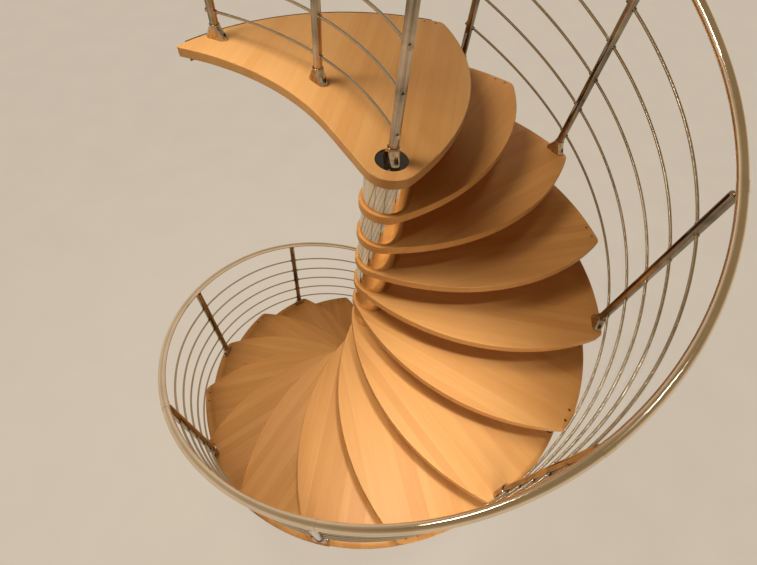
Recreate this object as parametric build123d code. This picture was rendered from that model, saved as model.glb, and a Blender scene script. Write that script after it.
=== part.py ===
from build123d import *
import math
import os

# Driving dimensions in millimetres and degrees, for the whole stair
rise = 195.0
riser_count = 16
tread_turn = 22.5
stair_radius = 1208.0
landing_front_angle = 62.1
fit_gap = 0.3
cut_margin = 1.0

# Column
column_tube_radius = 105.0
column_tube_wall = 4.0
pole_radius = 30.0
base_flange_radius = 190.0
base_flange_thickness = 14.0
base_flange_chamfer = 3.0
base_bolt_circle_radius = 155.0
base_bolt_count = 6
base_bolt_hole_radius = 7.5

# Wooden treads and landing
tread_thickness = 45.0
hub_radius = 118.0
nosing_radius = 1194.0
tread_spread = 28.9
landing_spread = 69.8
back_edge_radius = 1149.0
back_edge_neck = 150.0
front_corner_radius = 45.0
back_corner_radius = 12.0
wood_edge_radius = 4.0
cap_recess_radius = 66.5
cap_recess_depth = 9.0
cap_thickness = 5.0

# Outer spacers between one tread and the next
rail_inset = 27.0
post_set_back = 3.3
spacer_radius = 19.0
spacer_plate_length = 88.0
spacer_plate_width = 34.0
spacer_plate_thickness = 5.0
screw_spacing = 62.0
screw_hole_radius = 4.5
plug_radius = 8.0
plug_depth = 9.0

# Band of steel along the landing's outer edge
band_clearance = 0.8
band_thickness = 6.0
band_height = 92.0
band_hole_radius = 5.5
band_hole_count = 5
band_end_margin = 3.0

# Posts and their cast feet
post_radius = 20.0
post_top_rounding = 5.0
foot_length = 104.0
foot_width = 46.0
foot_top_length = 48.0
foot_plate_thickness = 7.0
foot_body_height = 58.0
foot_collar_radius = 25.0
foot_collar_height = 8.0
foot_collar_rounding = 3.0
foot_socket_floor = 14.0
foot_screw_spacing = 80.0
foot_pocket_radius = 8.5
end_post_turn = 15.4

# Rails and rods, heights over the line of the tread corners
rail_height = 950.0
rail_tube_radius = 18.0
rail_joint_radius = 19.0
rail_joint_length = 44.0
rail_pin_radius = 8.0
rail_pin_length = 11.0
rail_overhang = 62.0
rod_radius = 6.0
rod_count = 5
first_rod_height = 117.0
rod_spacing = 155.0
collar_radius = 9.5
collar_length = 54.0
guard_bay_count = 2
guard_end_inset = 61.0

landing_height = rise * riser_count
rail_radius = stair_radius - rail_inset
slope_per_degree = rise / tread_turn
post_every = 2

os.makedirs("parts", exist_ok=True)


def save(shapes, name):
    """Write one node from a shape or a list of solids that don't touch."""
    if isinstance(shapes, list):
        shapes = Compound(children=shapes)
    export_step(shapes, f"parts/{name}.step")


def polar(radius, angle, height=0.0):
    """Point at a radius, an angle in degrees and a height."""
    turn = math.radians(angle)
    return Vector(radius * math.cos(turn), radius * math.sin(turn), height)


def front_angle(step):
    """Angle of the front corner of a step, where the landing is the last step."""
    return landing_front_angle - (riser_count - step) * tread_turn


def post_angle(step):
    """Angle of the post or spacer at the front corner of a step."""
    return front_angle(step) + post_set_back


def arc_on_circle(centre, radius, start, end, side):
    """Arc of a circle between two points, bulging towards a side point."""
    middle = (start + end) * 0.5 - centre
    towards = middle.normalized() * radius
    if (side - centre).dot(towards) < 0:
        towards = -towards
    return ThreePointArc(start, centre + towards, end)


def crossing_angle(reach, radius):
    """Angle between a circle's centre and where it crosses the outer edge, both seen from the axis."""
    cosine = (stair_radius**2 + reach**2 - radius**2) / (2 * stair_radius * reach)
    return math.degrees(math.acos(cosine))


def edge_circle(spread):
    """Centre of the concave back edge that meets the outer edge at the spread."""
    reach = back_edge_radius + back_edge_neck
    return polar(reach, spread + crossing_angle(reach, back_edge_radius))


def wood_outline(spread):
    """Leaf outline of a tread or landing, its front corner on the X axis."""
    nosing_reach = nosing_radius - hub_radius
    nosing_direction = crossing_angle(nosing_reach, nosing_radius)
    nosing_centre = polar(nosing_reach, nosing_direction)
    nosing_start = polar(hub_radius, nosing_direction + 180)
    front_corner = polar(stair_radius, 0)
    back_corner = polar(stair_radius, spread)
    edge_centre = edge_circle(spread)
    edge_direction = math.degrees(math.atan2(edge_centre.Y, edge_centre.X))
    reach = back_edge_radius + back_edge_neck
    lean = math.degrees(math.acos((hub_radius + back_edge_radius) / reach))
    hub_end = polar(hub_radius, edge_direction + lean)
    edge_end = edge_centre - polar(back_edge_radius, edge_direction + lean)
    hub_middle_angle = (edge_direction + lean + nosing_direction + 180) / 2
    nosing = arc_on_circle(nosing_centre, nosing_radius, nosing_start, front_corner, polar(1, nosing_direction - 90))
    outer = ThreePointArc(front_corner, polar(stair_radius, spread / 2), back_corner)
    back = arc_on_circle(edge_centre, back_edge_radius, back_corner, edge_end, Vector(0, 0, 0))
    neck = Line(edge_end, hub_end)
    hub = ThreePointArc(hub_end, polar(hub_radius, hub_middle_angle), nosing_start)
    outline = make_face([nosing, outer, back, neck, hub])
    outline = fillet(outline.vertices().sort_by_distance(front_corner)[0], front_corner_radius)
    outline = fillet(outline.vertices().sort_by_distance(back_corner)[0], back_corner_radius)
    return outline


def tangential(radius, angle, offset, height=0.0):
    """Point beside a post, offset along the tangent of its circle."""
    turn = math.radians(angle)
    side = Vector(-math.sin(turn), math.cos(turn), 0) * offset
    return polar(radius, angle, height) + side


def vertical_hole(point, radius, top, bottom):
    """Cylinder to cut a vertical hole between two heights."""
    return Pos(point.X, point.Y, (top + bottom) / 2) * Cylinder(radius, top - bottom)


def screw_points(angle, spacing):
    """Two screw positions either side of a post, along the tangent."""
    return [tangential(rail_radius, angle, side * spacing / 2) for side in (-1, 1)]


def wood_step(spread, plugged, recessed):
    """Tread or landing with its top at height zero and its bores cut."""
    body = extrude(wood_outline(spread), -tread_thickness)
    rims = body.edges().filter_by(Plane.XY)
    body = fillet(rims, wood_edge_radius)
    over = cut_margin
    under = -tread_thickness - cut_margin
    body -= vertical_hole(Vector(0, 0, 0), pole_radius + fit_gap, over, under)
    for point in screw_points(post_set_back, screw_spacing):
        body -= vertical_hole(point, screw_hole_radius, over, under)
        if plugged:
            body -= vertical_hole(point, plug_radius, over, -plug_depth)
    if recessed:
        body -= vertical_hole(Vector(0, 0, 0), cap_recess_radius, over, -cap_recess_depth)
    return body


def make_treads():
    """One wooden tread for each riser below the landing."""
    plain = wood_step(tread_spread, False, False)
    plugged = wood_step(tread_spread, True, False)
    for step in range(1, riser_count):
        carries_post = (riser_count - step) % post_every == 0
        blank = plain if carries_post else plugged
        tread = Pos(0, 0, step * rise) * Rot(0, 0, front_angle(step)) * blank
        save(tread, f"tread_{step:02d}")


def make_landing():
    """Landing board, wider than a tread, with the recess over the column."""
    board = wood_step(landing_spread, True, True)
    save(Pos(0, 0, landing_height) * Rot(0, 0, landing_front_angle) * board, "landing")


def make_landing_band():
    """Steel band along the landing's outer edge, with holes to fix it to the floor edge."""
    start = landing_front_angle + band_end_margin
    end = landing_front_angle + landing_spread - band_end_margin
    inner = stair_radius + band_clearance
    outer = inner + band_thickness
    middle = (start + end) / 2
    sides = [
        ThreePointArc(polar(inner, start), polar(inner, middle), polar(inner, end)),
        Line(polar(inner, end), polar(outer, end)),
        ThreePointArc(polar(outer, end), polar(outer, middle), polar(outer, start)),
        Line(polar(outer, start), polar(inner, start)),
    ]
    band = Pos(0, 0, landing_height) * extrude(make_face(sides), -band_height)
    hole_height = landing_height - (tread_thickness + band_height) / 2
    for index in range(band_hole_count):
        angle = start + (end - start) * (index + 0.5) / band_hole_count
        centre = polar(inner + band_thickness / 2, angle, hole_height)
        drill = Plane(origin=centre, z_dir=polar(1, angle)) * Cylinder(band_hole_radius, 2 * band_thickness)
        band -= drill
    save(band, "landing_edge_band")


def make_column():
    """Base flange, inner pole, polished spacer tubes and the cap in the landing."""
    flange = Pos(0, 0, base_flange_thickness / 2) * Cylinder(base_flange_radius, base_flange_thickness)
    for index in range(base_bolt_count):
        point = polar(base_bolt_circle_radius, index * 360 / base_bolt_count)
        flange -= vertical_hole(point, base_bolt_hole_radius, base_flange_thickness + cut_margin, -cut_margin)
    rim = flange.edges().group_by(Axis.Z)[-1].sort_by(SortBy.LENGTH)[-1]
    flange = chamfer(rim, base_flange_chamfer)
    save(flange, "base_flange")
    pole_top = landing_height - cap_recess_depth
    pole = vertical_hole(Vector(0, 0, 0), pole_radius, pole_top, base_flange_thickness)
    save(pole, "centre_pole")
    tubes = []
    for step in range(riser_count):
        bottom = step * rise if step > 0 else base_flange_thickness
        top = (step + 1) * rise - tread_thickness
        outer = vertical_hole(Vector(0, 0, 0), column_tube_radius, top, bottom)
        bore = column_tube_radius - column_tube_wall
        inner = vertical_hole(Vector(0, 0, 0), bore, top + cut_margin, bottom - cut_margin)
        tubes.append(outer - inner)
    save(tubes, "column_tubes")
    cap = vertical_hole(Vector(0, 0, 0), cap_recess_radius - fit_gap, pole_top + cap_thickness, pole_top)
    save(cap, "column_cap")


def make_outer_spacers():
    """Spacers from each step's front corner down to the step below or the floor."""
    spacers = []
    height = rise - tread_thickness
    for step in range(1, riser_count + 1):
        bottom = (step - 1) * rise
        stem = Pos(0, 0, height / 2) * Cylinder(spacer_radius, height)
        plate = SlotOverall(spacer_plate_length, spacer_plate_width)
        lower = extrude(plate, spacer_plate_thickness)
        upper = Pos(0, 0, height) * extrude(plate, -spacer_plate_thickness)
        spacer = stem + lower + upper
        for side in (-1, 1):
            point = Vector(side * screw_spacing / 2, 0, 0)
            spacer -= vertical_hole(point, screw_hole_radius, height + cut_margin, -cut_margin)
        angle = post_angle(step)
        centre = polar(rail_radius, angle, bottom)
        spacers.append(Pos(*centre) * Rot(0, 0, angle + 90) * spacer)
    save(spacers, "outer_spacers")


def rail_point(angle, height):
    """Point of the outer railing's helix at a height over the step corners."""
    climb = (angle - post_angle(riser_count)) * slope_per_degree
    return polar(rail_radius, angle, landing_height + climb + height)


def rail_tangent(angle):
    """Uphill direction of the outer railing's helix."""
    turn = math.radians(angle)
    climb = math.degrees(slope_per_degree)
    return Vector(-rail_radius * math.sin(turn), rail_radius * math.cos(turn), climb).normalized()


def rail_turn_for(length):
    """Turn in degrees that a length along the outer railing's helix takes."""
    return length / math.hypot(math.radians(rail_radius), slope_per_degree)


def two_arc_path(start, start_direction, end, end_direction):
    """Smooth path of two arcs that leaves and arrives in the given directions."""
    span = end - start
    both = start_direction + end_direction
    a = both.dot(both) - 4
    b = -2 * span.dot(both)
    c = span.dot(span)
    reach = (-b - math.sqrt(b * b - 4 * a * c)) / (2 * a)
    middle = (start + start_direction * reach + end - end_direction * reach) * 0.5
    first = TangentArc(start, middle, tangent=start_direction)
    second = TangentArc(middle, end, tangent=first % 1)
    return Wire([first, second])


def tube_along(path, radius):
    """Round bar swept along a path."""
    start = Plane(origin=path @ 0, z_dir=path % 0)
    return sweep(start * Circle(radius), path=path)


def helix_bar(start_angle, end_angle, height, radius):
    """Round bar that follows the outer railing's helix between two angles."""
    path = two_arc_path(
        rail_point(start_angle, height),
        rail_tangent(start_angle),
        rail_point(end_angle, height),
        rail_tangent(end_angle),
    )
    return tube_along(path, radius)


landing_edge_centre = polar(
    back_edge_radius + back_edge_neck,
    landing_front_angle
    + math.degrees(math.atan2(edge_circle(landing_spread).Y, edge_circle(landing_spread).X)),
)
guard_radius = back_edge_radius + back_edge_neck
guard_start_angle = math.degrees(math.atan2(-landing_edge_centre.Y, -landing_edge_centre.X))
guard_chord = stair_radius - guard_end_inset
guard_turn = 2 * math.degrees(math.asin(guard_chord / (2 * guard_radius)))


def guard_point(angle, height=0.0):
    """Point of the landing guard's arc, at an angle from the column axis."""
    return landing_edge_centre + polar(guard_radius, guard_start_angle + angle, height)


def guard_tangent(angle):
    """Direction of the landing guard's arc, away from the column."""
    turn = math.radians(guard_start_angle + angle)
    return Vector(-math.sin(turn), math.cos(turn), 0)


def guard_bar(start_angle, end_angle, height, radius):
    """Round level bar along the landing guard's arc."""
    height += landing_height
    middle = (start_angle + end_angle) / 2
    points = [guard_point(angle, height) for angle in (start_angle, middle, end_angle)]
    return tube_along(Wire([ThreePointArc(*points)]), radius)


def rod_heights():
    """Heights of the rods over the step corners."""
    return [first_rod_height + index * rod_spacing for index in range(rod_count)]


def post(base, direction, rail_rise):
    """Post with a collar for each rod, up to a rail at a rise over its base point."""
    bottom = foot_socket_floor
    top = rail_rise - rail_tube_radius - rail_pin_length
    shape = Pos(0, 0, (bottom + top) / 2) * Cylinder(post_radius, top - bottom)
    shape = fillet(shape.edges().filter_by(GeomType.CIRCLE).sort_by(Axis.Z)[-1], post_top_rounding)
    for height in rod_heights():
        collar = Cylinder(collar_radius, collar_length)
        level = height + rail_rise - rail_height
        shape += Plane(origin=(0, 0, level), z_dir=direction) * collar
    return Pos(*base) * shape


def rail_joint(rail_centre, direction):
    """Joint ring in the handrail with the pin that stands on the post."""
    ring = Plane(origin=(0, 0, 0), z_dir=direction) * Cylinder(rail_joint_radius, rail_joint_length)
    pin_height = rail_tube_radius + rail_pin_length
    pin = Pos(0, 0, -pin_height / 2) * Cylinder(rail_pin_radius, pin_height)
    return Pos(*rail_centre) * (ring + pin)


def post_foot():
    """Cast foot: oblong wedge with a screw pocket at each end and a collar round the post's socket."""
    plate = extrude(SlotOverall(foot_length, foot_width), foot_plate_thickness)
    lower = Pos(0, 0, foot_plate_thickness) * SlotOverall(foot_length, foot_width)
    upper = Pos(0, 0, foot_body_height) * SlotOverall(foot_top_length, foot_width)
    body = loft([lower, upper], ruled=True)
    collar = Pos(0, 0, foot_body_height + foot_collar_height / 2) * Cylinder(foot_collar_radius, foot_collar_height)
    collar = fillet(collar.edges().filter_by(GeomType.CIRCLE).sort_by(Axis.Z)[-1], foot_collar_rounding)
    foot = plate + body + collar
    top = foot_body_height + foot_collar_height
    foot -= vertical_hole(Vector(0, 0, 0), post_radius + fit_gap, top + cut_margin, foot_socket_floor)
    for side in (-1, 1):
        point = Vector(side * foot_screw_spacing / 2, 0, 0)
        foot -= vertical_hole(point, foot_pocket_radius, top, foot_plate_thickness)
        foot -= vertical_hole(point, screw_hole_radius, foot_plate_thickness + cut_margin, -cut_margin)
    return foot


def stair_posts_list():
    """Angle and base height of each post of the outer railing, from the floor up."""
    places = [(post_angle(step), step * rise) for step in range(0, riser_count, post_every)]
    last = riser_count - 1
    places.append((front_angle(last) + end_post_turn, last * rise))
    return places


def make_outer_railing():
    """Feet, posts, rods and handrail of the railing round the outside."""
    places = stair_posts_list()
    foot = post_foot()
    feet = []
    posts = []
    joints = []
    for angle, base in places:
        base_point = polar(rail_radius, angle, base)
        direction = rail_tangent(angle)
        feet.append(Pos(*base_point) * Rot(0, 0, angle + 90) * foot)
        rail_rise = rail_point(angle, rail_height).Z - base
        posts.append(post(base_point, direction, rail_rise))
        joints.append(rail_joint(rail_point(angle, rail_height), direction))
    save(feet, "post_feet")
    save(posts, "railing_posts")
    joint_turn = rail_turn_for(rail_joint_length / 2 + fit_gap)
    collar_turn = rail_turn_for(collar_length / 2 + fit_gap)
    rails = []
    for bay in range(len(places) - 1):
        low = places[bay][0]
        high = places[bay + 1][0]
        rails.append(helix_bar(low + joint_turn, high - joint_turn, rail_height, rail_tube_radius))
        rods = []
        for height in rod_heights():
            rods.append(helix_bar(low + collar_turn, high - collar_turn, height, rod_radius))
        save(rods, f"rods_bay_{bay + 1}")
    save(rails, "handrail")
    ends = [
        (places[0][0], -1),
        (places[-1][0], 1),
    ]
    caps = []
    for angle, sign in ends:
        direction = rail_tangent(angle) * sign
        start = rail_point(angle, rail_height) + direction * (rail_joint_length / 2 + fit_gap)
        caps.append(rail_end(start, direction))
    save(joints, "handrail_joints")
    save(caps, "handrail_ends")


def rail_end(start, direction):
    """Straight end piece of a handrail with a domed tip."""
    straight = rail_overhang - rail_tube_radius
    bar = Plane(origin=start, z_dir=direction) * Pos(0, 0, straight / 2) * Cylinder(rail_tube_radius, straight)
    tip = Pos(*(start + direction * straight)) * Sphere(rail_tube_radius)
    return bar + tip


def make_landing_guard():
    """Feet, posts, rods and handrail of the guard along the landing's open edge."""
    angles = [index * guard_turn / guard_bay_count for index in range(guard_bay_count + 1)]
    foot = post_foot()
    feet = []
    posts = []
    joints = []
    for index, angle in enumerate(angles):
        sunk = cap_recess_depth - cap_thickness if index == 0 else 0
        base = guard_point(angle, landing_height - sunk)
        direction = guard_tangent(angle)
        heading = math.degrees(math.atan2(direction.Y, direction.X))
        feet.append(Pos(*base) * Rot(0, 0, heading) * foot)
        posts.append(post(base, direction, rail_height + sunk))
        joints.append(rail_joint(guard_point(angle, landing_height + rail_height), direction))
    save(feet, "guard_feet")
    save(posts, "guard_posts")
    save(joints, "guard_rail_joints")
    joint_turn = math.degrees((rail_joint_length / 2 + fit_gap) / guard_radius)
    collar_turn = math.degrees((collar_length / 2 + fit_gap) / guard_radius)
    rails = []
    rods = []
    for low, high in zip(angles, angles[1:]):
        rails.append(guard_bar(low + joint_turn, high - joint_turn, rail_height, rail_tube_radius))
        for height in rod_heights():
            rods.append(guard_bar(low + collar_turn, high - collar_turn, height, rod_radius))
    save(rails, "guard_rail")
    save(rods, "guard_rods")
    caps = []
    for angle, sign in ((angles[0], -1), (angles[-1], 1)):
        direction = guard_tangent(angle) * sign
        start = guard_point(angle, landing_height + rail_height) + direction * (rail_joint_length / 2 + fit_gap)
        caps.append(rail_end(start, direction))
    save(caps, "guard_rail_ends")


make_column()
make_treads()
make_landing()
make_landing_band()
make_outer_spacers()
make_outer_railing()
make_landing_guard()
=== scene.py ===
import math

import bmesh
import bpy
from mathutils import Matrix, Vector


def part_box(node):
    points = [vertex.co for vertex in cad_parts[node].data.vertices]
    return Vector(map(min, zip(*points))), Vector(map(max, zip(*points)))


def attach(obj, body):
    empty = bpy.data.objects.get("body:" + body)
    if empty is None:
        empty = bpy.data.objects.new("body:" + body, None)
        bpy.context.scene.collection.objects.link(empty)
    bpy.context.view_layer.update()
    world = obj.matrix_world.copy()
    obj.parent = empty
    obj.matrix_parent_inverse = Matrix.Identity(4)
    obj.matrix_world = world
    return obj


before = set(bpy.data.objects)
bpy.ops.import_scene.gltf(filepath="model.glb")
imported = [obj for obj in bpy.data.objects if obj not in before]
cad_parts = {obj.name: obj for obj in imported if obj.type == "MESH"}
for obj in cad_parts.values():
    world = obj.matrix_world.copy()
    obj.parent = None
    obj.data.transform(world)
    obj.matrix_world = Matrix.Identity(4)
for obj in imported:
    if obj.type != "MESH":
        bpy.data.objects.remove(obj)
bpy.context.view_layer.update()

# Sizes of the stair in metres and degrees, as in the part's source
RISE = 0.195
RISER_COUNT = 16
TREAD_TURN = 22.5
STAIR_RADIUS = 1.208
LANDING_FRONT_ANGLE = 62.1
LANDING_SPREAD = 69.8
LANDING_TOP = RISE * RISER_COUNT
TREAD_THICKNESS = 0.045
RAIL_RADIUS = STAIR_RADIUS - 0.027
POST_SET_BACK = 3.3
POST_EVERY = 2
END_POST_TURN = 15.4
SCREW_SPACING = 0.062
SPACER_PLATE = 0.005
PLUG_DEPTH = 0.009
BOLT_CIRCLE_RADIUS = 0.155
BOLT_COUNT = 6
FLANGE_THICKNESS = 0.014
BAND_HEIGHT = 0.092
BAND_HOLES = 5
BAND_MARGIN = 3.0
FOOT_SCREW_SPACING = 0.080
FOOT_PLATE = 0.007
BACK_EDGE_RADIUS = 1.149
BACK_EDGE_NECK = 0.150
GUARD_END_INSET = 0.061
GUARD_BAYS = 2
CAP_BELOW_WOOD = 0.004

# Wood: staves across the leaf, and noises as stretch, scale, detail, roughness, distortion
STAVE_WIDTH = 0.046
STAVE_LEAN = 6.0
LANDING_STAVE_LEAN = 4.4
TREAD_SEED = 3.7
LANDING_SEED = 91.3
SEED_SHIFT = (1.7, 0.613)
STAVE_SHIFT = 9.0
FIGURE_NOISE = ((1.1, 15.0, 15.0), 1.6, 3.0, 0.55, 0.6)
GRAIN_NOISE = ((5.0, 170.0, 170.0), 3.0, 5.0, 0.6)
FLECK_NOISE = ((90.0, 620.0, 620.0), 1.0, 1.0, 0.4)
FLECK_RANGE = (0.60, 0.70)
TONE_START = 0.08
STAVE_WEIGHT = 0.24
FIGURE_WEIGHT = 0.34
GRAIN_WEIGHT = 0.26
FLECK_WEIGHT = -0.08
TONE_STOPS = (0.12, 0.5, 0.9)
WOOD_SHADE = ((0.50, 0.212, 0.056), (0.61, 0.290, 0.086), (0.70, 0.370, 0.128))
# The landing takes a darker copy of the tread wood: painted shade for the dimmer light on the
# landing.
LANDING_WOOD_PAINTED_DARKER = ((0.42, 0.190, 0.056), (0.51, 0.258, 0.086), (0.58, 0.330, 0.128))
JOINT_WIDTH = 0.016
JOINT_TONE = 0.80
WOOD_ROUGHNESS = (0.40, 0.52)
WOOD_BUMP = (0.25, 0.0006)
WOOD_GLOSS = {"Coat Weight": 0.03, "Coat Roughness": 0.25, "Specular IOR Level": 0.15}

# Steel: its streaks have one scale, detail and roughness, and each finish its own stretch
NOISE_MIDDLE = (0.3, 0.7)
EVEN = (1.0, 1.0, 1.0)
STREAK_DETAIL = (1.0, 4.0, 0.6)
SMEAR_NOISE = (EVEN, 9.0, 3.0, 0.5, 0.4)
STREAK_STOPS = (0.35, 0.65)
STEEL_BUMP = 0.2
STREAK_TONE = 0.86

# Small parts: turned profiles as radius, height and, for a polygon, its sides
SEGMENTS = 24
SHARP_ANGLE = 32
SCREW_OFF_BORE = 0.0003
HEX = 6
CAP_SCREW = [
    (0.0, 0.0048),
    (0.0030, 0.0048, HEX),
    (0.0030, 0.0080, HEX),
    (0.0034, 0.0082, HEX),
    (0.0066, 0.0082),
    (0.0072, 0.0078),
    (0.0074, 0.0070),
    (0.0074, 0.0),
    (0.0, 0.0),
]
PAN_SCREW = [
    (0.0, 0.0016),
    (0.0026, 0.0016, HEX),
    (0.0026, 0.0036, HEX),
    (0.0040, 0.0035),
    (0.0062, 0.0026),
    (0.0074, 0.0010),
    (0.0074, 0.0),
    (0.0, 0.0),
]
CAP_NUT = [
    (0.0, 0.0100),
    (0.0030, 0.0096),
    (0.0052, 0.0078),
    (0.0056, 0.0060),
    (0.0078, 0.0056, HEX),
    (0.0082, 0.0050, HEX),
    (0.0082, 0.0014, HEX),
    (0.0088, 0.0012),
    (0.0090, 0.0),
    (0.0, 0.0),
]
FOOT_SCREW = [
    (0.0, 0.0034),
    (0.0028, 0.0034, HEX),
    (0.0028, 0.0066, HEX),
    (0.0034, 0.0068, HEX),
    (0.0054, 0.0066),
    (0.0062, 0.0058),
    (0.0064, 0.0016),
    (0.0076, 0.0014),
    (0.0080, 0.0008),
    (0.0080, 0.0),
    (0.0, 0.0),
]
HEX_BOLT = [
    (0.0, 0.0122),
    (0.0078, 0.0122),
    (0.0100, 0.0112, HEX),
    (0.0108, 0.0100, HEX),
    (0.0108, 0.0026, HEX),
    (0.0136, 0.0026),
    (0.0145, 0.0018),
    (0.0145, 0.0),
    (0.0, 0.0),
]
FLAT_SCREW = [
    (0.0, -0.0020),
    (0.0018, -0.0020, HEX),
    (0.0018, -0.0004, HEX),
    (0.0046, -0.0004),
    (0.0052, -0.0010),
    (0.0052, -0.0040),
    (0.0, -0.0040),
]

# Floor and backdrop
FLOOR_SIZE = 60.0
FLOOR_COLOUR = (0.76, 0.66, 0.53)
FLOOR_GLOW = 0.74
FLOOR_ROUGHNESS = 0.85
MOTTLE_NOISE = (EVEN, 2.0, 3.0)
MOTTLE_TONE = 0.97
WORLD_LIGHT = (1.0, 0.50, 0.14, 1.0)
WORLD_STRENGTH = 0.11
BACKDROP_STOPS = [
    (0.12, (0.66, 0.57, 0.455)),
    (0.40, (0.44, 0.36, 0.25)),
    (0.78, (0.25, 0.19, 0.11)),
]

# Lamps
LAMP_COLOUR = (1.0, 0.94, 0.84)
SPOT_COLOUR = (0.92, 0.96, 1.0)
SPOT_FACE = 0.25
STAIR_MIDDLE = (0.1, -0.1, 1.8)
LOW_TREADS = (0.1, -0.76, 1.85)
HIGH_TREADS = (0.9, 0.5, 2.5)
FIRST_TREADS = (-0.5, 0.2, 0.9)

# Camera, found from the picture's own frame of 757 by 565
CAMERA_PLACE = (-0.4247, -1.1987, 4.1452)
CAMERA_TURN = (34.436, -4.737, -13.306)
LENS = 19.55
SENSOR_WIDTH = 36.0
SHIFT_X = 0.0005
SHIFT_Y = -0.0034
CLIP_START = 0.02
CLIP_END = 100.0


def front_angle(step):
    """Angle in degrees of a step's front corner, where the landing is the last step."""
    return LANDING_FRONT_ANGLE - (RISER_COUNT - step) * TREAD_TURN


def polar(radius, angle, height=0.0):
    """Point at a radius, an angle in degrees and a height."""
    turn = math.radians(angle)
    return Vector((radius * math.cos(turn), radius * math.sin(turn), height))


def show(name, data):
    """Object with its data, linked to the scene."""
    made = bpy.data.objects.new(name, data)
    bpy.context.scene.collection.objects.link(made)
    return made


# Materials

def node(tree, kind, sockets=None, **settings):
    """Add a shader node, set its values and link the sockets given."""
    made = tree.nodes.new(kind)
    for name, value in settings.items():
        setattr(made, name, value)
    for name, value in (sockets or {}).items():
        if isinstance(value, bpy.types.NodeSocket):
            tree.links.new(value, made.inputs[name])
        else:
            made.inputs[name].default_value = value
    return made


def new_material(name):
    """Material with a Principled shader linked to its output node."""
    material = bpy.data.materials.new(name)
    material.use_nodes = True
    tree = material.node_tree
    tree.nodes.clear()
    shader = tree.nodes.new("ShaderNodeBsdfPrincipled")
    output = tree.nodes.new("ShaderNodeOutputMaterial")
    tree.links.new(shader.outputs["BSDF"], output.inputs["Surface"])
    return material, tree, shader, output


def math_node(tree, operation, a, b=0.0):
    """Math node with two values or sockets, giving its result socket."""
    return node(tree, "ShaderNodeMath", {0: a, 1: b}, operation=operation).outputs[0]


def multiply_add(tree, a, b, c):
    """Socket with a times b plus c."""
    made = node(tree, "ShaderNodeMath", {0: a, 1: b, 2: c}, operation="MULTIPLY_ADD")
    return made.outputs[0]


def map_range(tree, value, source, target):
    """Socket that takes a value from one (low, high) range to another."""
    sockets = {"Value": value, "From Min": source[0], "From Max": source[1]}
    sockets.update({"To Min": target[0], "To Max": target[1]})
    return node(tree, "ShaderNodeMapRange", sockets).outputs[0]


def ramp(tree, factor, stops):
    """Colour ramp with the given (position, colour) stops."""
    made = node(tree, "ShaderNodeValToRGB", {"Fac": factor})
    elements = made.color_ramp.elements
    while len(elements) < len(stops):
        elements.new(0.5)
    for element, (position, colour) in zip(elements, stops):
        element.position = position
        element.color = (*colour, 1.0)
    return made.outputs["Color"]


def stretched_noise(tree, vector, stretch, scale, detail, roughness=0.5, distortion=0.0):
    """Noise whose grain is drawn out by a stretch on each axis."""
    mapped = node(tree, "ShaderNodeMapping", {"Vector": vector, "Scale": stretch}).outputs[0]
    sockets = {"Vector": mapped, "Scale": scale, "Detail": detail}
    sockets.update({"Roughness": roughness, "Distortion": distortion})
    return node(tree, "ShaderNodeTexNoise", sockets).outputs["Fac"]


def raise_relief(tree, shader, height, strength, distance):
    """Bump on a shader from a height socket."""
    sockets = {"Height": height, "Strength": strength, "Distance": distance}
    bump = node(tree, "ShaderNodeBump", sockets)
    tree.links.new(bump.outputs["Normal"], shader.inputs["Normal"])


def wood(name, stave_angle, shade, seed):
    """Oiled wood glued up from staves that run at an angle in the plan."""
    material, tree, shader, _ = new_material(name)
    place = node(tree, "ShaderNodeTexCoord").outputs["Object"]
    turn = (0, 0, -math.radians(stave_angle))
    shift = (seed * SEED_SHIFT[0], seed * SEED_SHIFT[1], 0)
    turning = {"Vector": place, "Rotation": turn, "Location": shift}
    turned = node(tree, "ShaderNodeMapping", turning).outputs[0]

    # Each stave has a tone of its own, and its own part of the grain
    axes = node(tree, "ShaderNodeSeparateXYZ", {0: turned})
    across = math_node(tree, "DIVIDE", axes.outputs["Y"], STAVE_WIDTH)
    stave = math_node(tree, "ADD", math_node(tree, "FLOOR", across), seed)
    noise = node(tree, "ShaderNodeTexWhiteNoise", {"W": stave}, noise_dimensions="1D")
    tone = noise.outputs["Value"]
    along = math_node(tree, "MULTIPLY", tone, STAVE_SHIFT)
    moved = node(tree, "ShaderNodeCombineXYZ", {0: along, 1: along, 2: along}).outputs[0]
    own = node(tree, "ShaderNodeVectorMath", {0: turned, 1: moved}, operation="ADD").outputs[0]
    figure = stretched_noise(tree, own, *FIGURE_NOISE)
    grain = stretched_noise(tree, own, *GRAIN_NOISE)
    flecks = stretched_noise(tree, own, *FLECK_NOISE)
    fleck = map_range(tree, flecks, FLECK_RANGE, (0.0, 1.0))

    total = TONE_START
    for value, weight in (
        (tone, STAVE_WEIGHT),
        (figure, FIGURE_WEIGHT),
        (grain, GRAIN_WEIGHT),
        (fleck, FLECK_WEIGHT),
    ):
        total = multiply_add(tree, value, weight, total)
    colour = ramp(tree, total, list(zip(TONE_STOPS, shade)))

    # A fine darker line where two staves meet
    edge = math_node(tree, "PINGPONG", across, 0.5)
    joint = map_range(tree, edge, (0.0, JOINT_WIDTH), (JOINT_TONE, 1.0))
    tinting = {"Factor": 1.0, "A": colour, "B": joint}
    seam = node(tree, "ShaderNodeMix", tinting, data_type="RGBA", blend_type="MULTIPLY")
    tree.links.new(seam.outputs["Result"], shader.inputs["Base Color"])
    sheen = map_range(tree, grain, NOISE_MIDDLE, WOOD_ROUGHNESS)
    tree.links.new(sheen, shader.inputs["Roughness"])
    raise_relief(tree, shader, multiply_add(tree, grain, 1.0, joint), *WOOD_BUMP)
    for socket, value in WOOD_GLOSS.items():
        shader.inputs[socket].default_value = value
    return material


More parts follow.
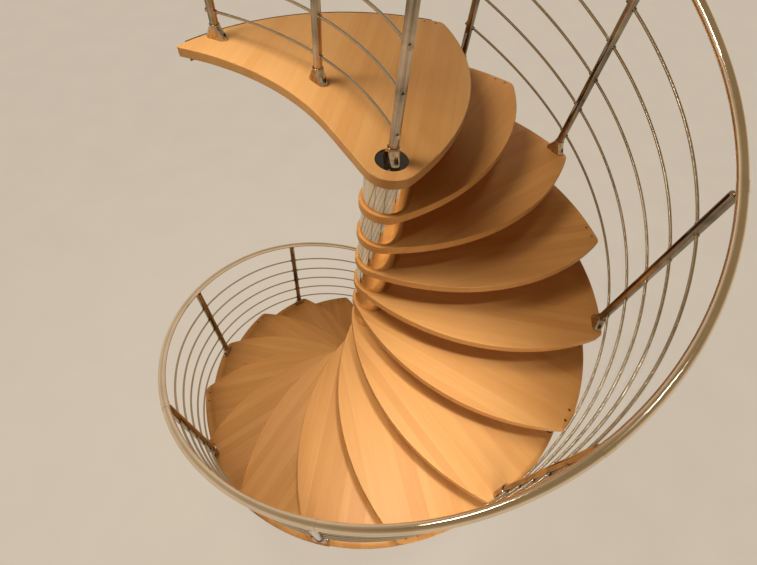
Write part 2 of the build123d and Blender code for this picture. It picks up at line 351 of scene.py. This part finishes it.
def steel(name, colour, roughness, stretch, relief, streak_and_reflection_tone=STREAK_TONE):
    """Polished steel with polishing streaks, smears and ripples; a low streak tone darkens the
    streaks into bands of painted reflection.
    """
    material, tree, shader, _ = new_material(name)
    place = node(tree, "ShaderNodeTexCoord").outputs["Object"]
    streaks = stretched_noise(tree, place, stretch, *STREAK_DETAIL)
    smears = stretched_noise(tree, place, *SMEAR_NOISE)
    both = multiply_add(tree, streaks, 0.5, math_node(tree, "MULTIPLY", smears, 0.5))
    rough = map_range(tree, both, NOISE_MIDDLE, roughness)
    tree.links.new(rough, shader.inputs["Roughness"])
    # Darker streaks in the colour: faint polishing streaks, and at a low tone painted reflection
    # bands.
    dark_streak_and_reflection_colour = tuple(streak_and_reflection_tone * channel for channel in colour)
    streak_and_reflection_tint = ramp(tree, both, list(zip(STREAK_STOPS, (dark_streak_and_reflection_colour, colour))))
    tree.links.new(streak_and_reflection_tint, shader.inputs["Base Color"])
    raise_relief(tree, shader, both, STEEL_BUMP, relief)
    shader.inputs["Metallic"].default_value = 1.0
    return material


# Each finish: name, colour, roughness range, stretch, relief in metres, tone of its streaks. The
# colours are warm browns and golds instead of steel's grey: painted reflection of warm wood and a
# dim room. A low streak tone paints dark bands of reflection on the posts, feet and column.
polished = steel(
    "polished_steel", (0.38, 0.30, 0.22), (0.05, 0.13), (60.0, 60.0, 3.0), 0.0004, 0.45
)
rail_finish = steel("rail_steel", (0.91, 0.75, 0.57), (0.05, 0.11), (4.0, 4.0, 4.0), 0.0001)
column_finish = steel(
    "column_steel", (0.86, 0.72, 0.54), (0.03, 0.09), (45.0, 45.0, 2.0), 0.0006, 0.60
)
rod_finish = steel("rod_steel", (0.56, 0.46, 0.34), (0.20, 0.28), (4.0, 4.0, 4.0), 0.00002)
cast_finish = steel(
    "cast_foot_steel", (0.74, 0.59, 0.42), (0.06, 0.16), (80.0, 80.0, 80.0), 0.0009, 0.30
)
guard_finish = steel(
    "guard_post_steel", (0.74, 0.57, 0.40), (0.05, 0.13), (55.0, 55.0, 1.4), 0.0012, 0.22
)
post_finish = steel(
    "railing_post_steel", (0.48, 0.39, 0.29), (0.04, 0.10), (70.0, 70.0, 1.2), 0.0016, 0.18
)
# The column cap's polished steel is painted near-black: painted dark reflection.
cap_mirror_painted_dark = steel("cap_mirror_painted_dark", (0.12, 0.12, 0.13), (0.02, 0.05), (20.0, 20.0, 20.0), 0.0002)
# Screw heads sunk in the bores are dark golden brown: painted reflection of the wood and of the
# shaded bore.
sunk_screw_painted_dark = steel("sunk_screw_painted_dark", (0.44, 0.30, 0.18), (0.20, 0.34), (90.0, 90.0, 90.0), 0.0002)
fixing_finish = steel(
    "fixing_steel", (0.66, 0.60, 0.52), (0.12, 0.24), (90.0, 90.0, 90.0), 0.0002
)

# Metals of the CAD nodes that aren't plain polished steel
METAL_OF = {
    "base_flange": column_finish,
    "centre_pole": column_finish,
    "column_cap": cap_mirror_painted_dark,
    "column_tubes": column_finish,
    "guard_feet": cast_finish,
    "guard_posts": guard_finish,
    "guard_rail": rail_finish,
    "guard_rail_ends": rail_finish,
    "guard_rail_joints": rail_finish,
    "guard_rods": rod_finish,
    "handrail": rail_finish,
    "handrail_ends": rail_finish,
    "handrail_joints": rail_finish,
    "post_feet": cast_finish,
    "railing_posts": post_finish,
}


def dress_frame():
    """Give every CAD node its material."""
    for name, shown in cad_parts.items():
        if name.startswith("tread_"):
            step = int(name.split("_")[1])
            lean = front_angle(step) + STAVE_LEAN
            finish = wood(f"wood_{name}", lean, WOOD_SHADE, step * TREAD_SEED)
        elif name == "landing":
            lean = LANDING_FRONT_ANGLE + LANDING_STAVE_LEAN
            # Painted shade: the landing's wood is a darker copy of the treads' wood.
            finish = wood("wood_landing", lean, LANDING_WOOD_PAINTED_DARKER, LANDING_SEED)
        elif name.startswith("rods_bay"):
            finish = rod_finish
        else:
            finish = METAL_OF.get(name, polished)
        shown.data.materials.clear()
        shown.data.materials.append(finish)


# Small parts

def ring_radius(radius, sides, turn):
    """Distance from the axis to the rim of a circle, or of a polygon with that many sides."""
    if sides == 0:
        return radius
    part = 2 * math.pi / sides
    return radius * math.cos(part / 2) / math.cos(turn % part - part / 2)


def lathe(mesh, profile, place):
    """Add a closed turned shape: profile rows hold radius, height and, for a polygon, its sides."""
    rings = []
    for radius, height, *polygon in profile:
        if radius == 0:
            rings.append([mesh.verts.new(place @ Vector((0, 0, height)))])
            continue
        sides = polygon[0] if polygon else 0
        ring = []
        for index in range(SEGMENTS):
            turn = 2 * math.pi * index / SEGMENTS
            reach = ring_radius(radius, sides, turn)
            point = Vector((reach * math.cos(turn), reach * math.sin(turn), height))
            ring.append(mesh.verts.new(place @ point))
        rings.append(ring)
    for low, high in zip(rings, rings[1:]):
        for index in range(SEGMENTS):
            after = (index + 1) % SEGMENTS
            corners = [low[index % len(low)], low[after % len(low)]]
            corners += [high[after % len(high)], high[index % len(high)]]
            mesh.faces.new(list(dict.fromkeys(corners)))


def piece(name, mesh, material):
    """Turn a bmesh into a smooth-shaded object that rides on the stair."""
    bmesh.ops.recalc_face_normals(mesh, faces=mesh.faces)
    data = bpy.data.meshes.new(name)
    mesh.to_mesh(data)
    mesh.free()
    data.shade_smooth()
    data.set_sharp_from_angle(angle=math.radians(SHARP_ANGLE))
    data.materials.append(material)
    made = show(name, data)
    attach(made, "root")


def frame_at(point, axis=(0, 0, 1)):
    """Placement with its Z axis along a direction."""
    return Matrix.Translation(point) @ Vector(axis).to_track_quat("Z", "Y").to_matrix().to_4x4()


def beside(angle, offset, height):
    """Point on the railing's circle, moved along its tangent."""
    turn = math.radians(angle)
    tangent = Vector((-math.sin(turn), math.cos(turn), 0))
    return polar(RAIL_RADIUS, angle, height) + tangent * offset


def tread_screws():
    """Screw heads sunk in the bores of the treads without posts and of the landing."""
    mesh = bmesh.new()
    sunk = SCREW_OFF_BORE - PLUG_DEPTH
    for step in range(1, RISER_COUNT + 1):
        if step < RISER_COUNT and (RISER_COUNT - step) % POST_EVERY == 0:
            continue
        angle = front_angle(step) + POST_SET_BACK
        for side in (-1, 1):
            point = beside(angle, side * SCREW_SPACING / 2, step * RISE + sunk)
            lathe(mesh, CAP_SCREW, frame_at(point))
    piece("tread_screws", mesh, sunk_screw_painted_dark)


def spacer_fixings():
    """Pan screws on each spacer's lower plate and cap nuts under its upper plate."""
    mesh = bmesh.new()
    for step in range(1, RISER_COUNT + 1):
        angle = front_angle(step) + POST_SET_BACK
        low = (step - 1) * RISE + SPACER_PLATE
        high = step * RISE - TREAD_THICKNESS - SPACER_PLATE
        for side in (-1, 1):
            offset = side * SCREW_SPACING / 2
            lathe(mesh, PAN_SCREW, frame_at(beside(angle, offset, low)))
            lathe(mesh, CAP_NUT, frame_at(beside(angle, offset, high), (0, 0, -1)))
    piece("spacer_fixings", mesh, fixing_finish)


def guard_feet_places():
    """Base point and direction of each foot of the landing's guard, from the column outwards."""
    reach = BACK_EDGE_RADIUS + BACK_EDGE_NECK
    cosine = (STAIR_RADIUS**2 + reach**2 - BACK_EDGE_RADIUS**2) / (2 * STAIR_RADIUS * reach)
    back_angle = LANDING_FRONT_ANGLE + LANDING_SPREAD
    centre = polar(reach, back_angle + math.degrees(math.acos(cosine)))
    start = math.degrees(math.atan2(-centre.y, -centre.x))
    turn = 2 * math.degrees(math.asin((STAIR_RADIUS - GUARD_END_INSET) / (2 * reach)))
    places = []
    for index in range(GUARD_BAYS + 1):
        angle = start + index * turn / GUARD_BAYS
        height = LANDING_TOP - (CAP_BELOW_WOOD if index == 0 else 0)
        places.append((centre + polar(reach, angle, height), polar(1, angle + 90)))
    return places


def foot_screws():
    """Screw heads with washers in the pockets of the cast feet."""
    mesh = bmesh.new()
    places = []
    for step in range(0, RISER_COUNT, POST_EVERY):
        places.append((front_angle(step) + POST_SET_BACK, step * RISE))
    last = RISER_COUNT - 1
    places.append((front_angle(last) + END_POST_TURN, last * RISE))
    for side in (-1, 1):
        offset = side * FOOT_SCREW_SPACING / 2
        for angle, height in places:
            lathe(mesh, FOOT_SCREW, frame_at(beside(angle, offset, height + FOOT_PLATE)))
        for point, direction in guard_feet_places():
            seat = point + direction * offset + Vector((0, 0, FOOT_PLATE))
            lathe(mesh, FOOT_SCREW, frame_at(seat))
    piece("foot_screws", mesh, fixing_finish)


def base_bolts():
    """Hexagon bolts and washers round the base flange."""
    mesh = bmesh.new()
    for index in range(BOLT_COUNT):
        point = polar(BOLT_CIRCLE_RADIUS, index * 360 / BOLT_COUNT, FLANGE_THICKNESS)
        lathe(mesh, HEX_BOLT, frame_at(point))
    piece("base_bolts", mesh, fixing_finish)


def band_screws():
    """Flat screws, flush in the holes of the band along the landing's edge."""
    mesh = bmesh.new()
    start = LANDING_FRONT_ANGLE + BAND_MARGIN
    end = LANDING_FRONT_ANGLE + LANDING_SPREAD - BAND_MARGIN
    height = LANDING_TOP - (TREAD_THICKNESS + BAND_HEIGHT) / 2
    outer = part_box("landing_edge_band")[1].y
    for index in range(BAND_HOLES):
        angle = start + (end - start) * (index + 0.5) / BAND_HOLES
        lathe(mesh, FLAT_SCREW, frame_at(polar(outer, angle, height), polar(1, angle)))
    piece("band_screws", mesh, fixing_finish)


# Studio

def seen_directly(tree):
    """One for rays from the camera and for those seen in metal or glass, else zero."""
    path = node(tree, "ShaderNodeLightPath").outputs
    seen = math_node(tree, "MAXIMUM", path["Is Camera Ray"], path["Is Glossy Ray"])
    return math_node(tree, "MAXIMUM", seen, path["Is Transmission Ray"])


def floor_paint():
    """Pale matt paint, with a faint mottle, that keeps the object's shadow."""
    material, tree, shader, output = new_material("floor_paint")
    place = node(tree, "ShaderNodeTexCoord").outputs["Object"]
    mottle = stretched_noise(tree, place, *MOTTLE_NOISE)
    low = tuple(MOTTLE_TONE * channel for channel in FLOOR_COLOUR)
    colour = ramp(tree, mottle, list(zip(NOISE_MIDDLE, (low, FLOOR_COLOUR))))
    tree.links.new(colour, shader.inputs["Base Color"])
    shader.inputs["Roughness"].default_value = FLOOR_ROUGHNESS
    glow = node(tree, "ShaderNodeEmission", {"Color": colour, "Strength": 1.0})
    share = math_node(tree, "MULTIPLY", seen_directly(tree), FLOOR_GLOW)
    mixing = {0: share, 1: shader.outputs[0], 2: glow.outputs[0]}
    mixed = node(tree, "ShaderNodeMixShader", mixing)
    tree.links.new(mixed.outputs[0], output.inputs["Surface"])
    return material


def make_floor():
    """Square floor at the foot of the stair."""
    mesh = bpy.data.meshes.new("studio_floor")
    half = FLOOR_SIZE / 2
    corners = [(-half, -half, 0), (half, -half, 0), (half, half, 0), (-half, half, 0)]
    mesh.from_pydata(corners, [], [(0, 1, 2, 3)])
    mesh.materials.append(floor_paint())
    floor = show("studio_floor", mesh)


def make_world():
    """Even light, with a backdrop that is pale at the horizon and dim overhead."""
    world = bpy.data.worlds.new("studio")
    bpy.context.scene.world = world
    world.use_nodes = True
    tree = world.node_tree
    tree.nodes.clear()
    direction = node(tree, "ShaderNodeTexCoord").outputs["Generated"]
    climb = node(tree, "ShaderNodeSeparateXYZ", {0: direction}).outputs["Z"]
    shade = ramp(tree, climb, BACKDROP_STOPS)
    lighting = {"Color": WORLD_LIGHT, "Strength": WORLD_STRENGTH}
    light = node(tree, "ShaderNodeBackground", lighting)
    backdrop = node(tree, "ShaderNodeBackground", {"Color": shade, "Strength": 1.0})
    mixing = {0: seen_directly(tree), 1: light.outputs[0], 2: backdrop.outputs[0]}
    mixed = node(tree, "ShaderNodeMixShader", mixing)
    output = tree.nodes.new("ShaderNodeOutputWorld")
    tree.links.new(mixed.outputs[0], output.inputs["Surface"])


def hang_lamp(name, data, place, aim, power, colour, gleams):
    """Hang a lamp at a place, facing a point, and let it show in gloss or not."""
    data.energy = power
    data.color = colour
    lamp = show(name, data)
    lamp.location = place
    lamp.visible_camera = False
    lamp.visible_glossy = gleams
    lamp.rotation_euler = (Vector(aim) - Vector(place)).to_track_quat("-Z", "Y").to_euler()


def area_lamp(name, place, size, power, gleams=False):
    """Square soft lamp that faces the middle of the stair."""
    data = bpy.data.lights.new(name, "AREA")
    data.shape = "SQUARE"
    data.size = size
    hang_lamp(name, data, place, STAIR_MIDDLE, power, LAMP_COLOUR, gleams)


def spot_lamp(name, place, aim, cone, power):
    """Soft-edged spot with a wide face, which shows in gloss."""
    data = bpy.data.lights.new(name, "SPOT")
    data.spot_size = math.radians(cone)
    data.spot_blend = 1.0
    data.shadow_soft_size = SPOT_FACE
    hang_lamp(name, data, place, aim, power, SPOT_COLOUR, True)


def make_lamps():
    """Soft lamps round the stair and spots over it, in metres, degrees and watts."""
    area_lamp("well", (0.2, -2.0, 2.5), 1.2, 16)
    area_lamp("left", (-1.3, 0.6, 4.9), 1.1, 62)
    area_lamp("left_gleam", (-1.25, 0.57, 4.79), 0.4, 10, gleams=True)
    spot_lamp("over_low_treads", (0.12, -0.9, 6.5), LOW_TREADS, 20, 760)
    spot_lamp("over_high_treads", (1.3, 1.0, 5.5), HIGH_TREADS, 30, 40)
    spot_lamp("over_first_treads", (-0.65, 0.55, 5.8), FIRST_TREADS, 24, 110)
    area_lamp("back", (0.2, 2.0, 2.85), 1.0, 5.5)
    area_lamp("back_right", (1.3, 1.6, 2.85), 1.0, 5.5)


def make_camera():
    """Camera at the photograph's place, with its lens."""
    data = bpy.data.cameras.new("camera")
    data.lens = LENS
    data.sensor_width = SENSOR_WIDTH
    data.shift_x = SHIFT_X
    data.shift_y = SHIFT_Y
    data.clip_start = CLIP_START
    data.clip_end = CLIP_END
    camera = show("camera", data)
    camera.location = CAMERA_PLACE
    camera.rotation_euler = [math.radians(angle) for angle in CAMERA_TURN]
    bpy.context.scene.camera = camera


dress_frame()

tread_screws()
spacer_fixings()
foot_screws()
base_bolts()
band_screws()

make_floor()
make_world()
make_lamps()
make_camera()
bpy.context.scene.view_settings.view_transform = "Standard"
